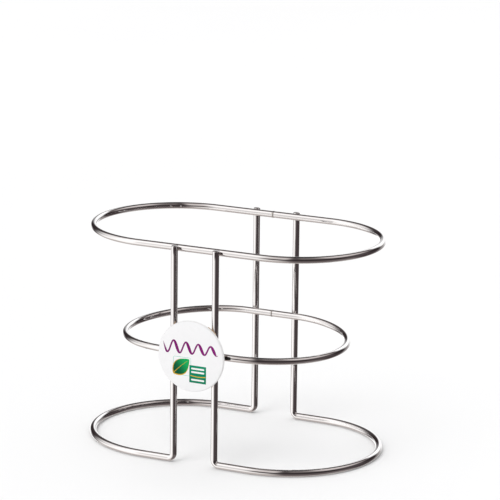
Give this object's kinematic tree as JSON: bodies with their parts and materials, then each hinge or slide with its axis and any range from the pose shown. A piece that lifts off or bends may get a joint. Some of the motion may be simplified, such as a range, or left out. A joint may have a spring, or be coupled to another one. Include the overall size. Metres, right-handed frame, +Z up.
{
  "type": "ham holder stand",
  "caption": "Welded bent-wire stand whose stacked long-round rings hold a ham upright on its narrow end, with a round badge across the front uprights.",
  "frame": {"origin": "on the table, under the middle of the object's box: centred between the two feet left to right, and between the badge's face and the back uprights front to back", "axes": "+X to the right along the long way of the rings, +Y from the badge towards the back uprights, +Z up"},
  "size_m": [0.2268, 0.1457, 0.1624],
  "materials": {
    "bright_wire": "polished",
    "weld_metal": "satin",
    "badge_white": "satin",
    "label_film": "satin",
    "foam_tape": "matte"
  },
  "bodies": {
    "root": {"left_foot_wire": "bright_wire", "right_foot_wire": "bright_wire", "middle_ring": "bright_wire", "top_ring": "bright_wire", "weld_middle_front_left": "weld_metal", "weld_middle_front_right": "weld_metal", "weld_middle_back_left": "weld_metal", "weld_middle_back_right": "weld_metal", "weld_top_front_left": "weld_metal", "weld_top_front_right": "weld_metal", "weld_top_back_left": "weld_metal", "weld_top_back_right": "weld_metal", "middle_ring_butt_weld": "weld_metal", "top_ring_butt_weld": "weld_metal", "badge_disc": "badge_white", "badge_label": "label_film", "badge_tape_left": "foam_tape", "badge_tape_right": "foam_tape"}
  },
  "joints": []
}
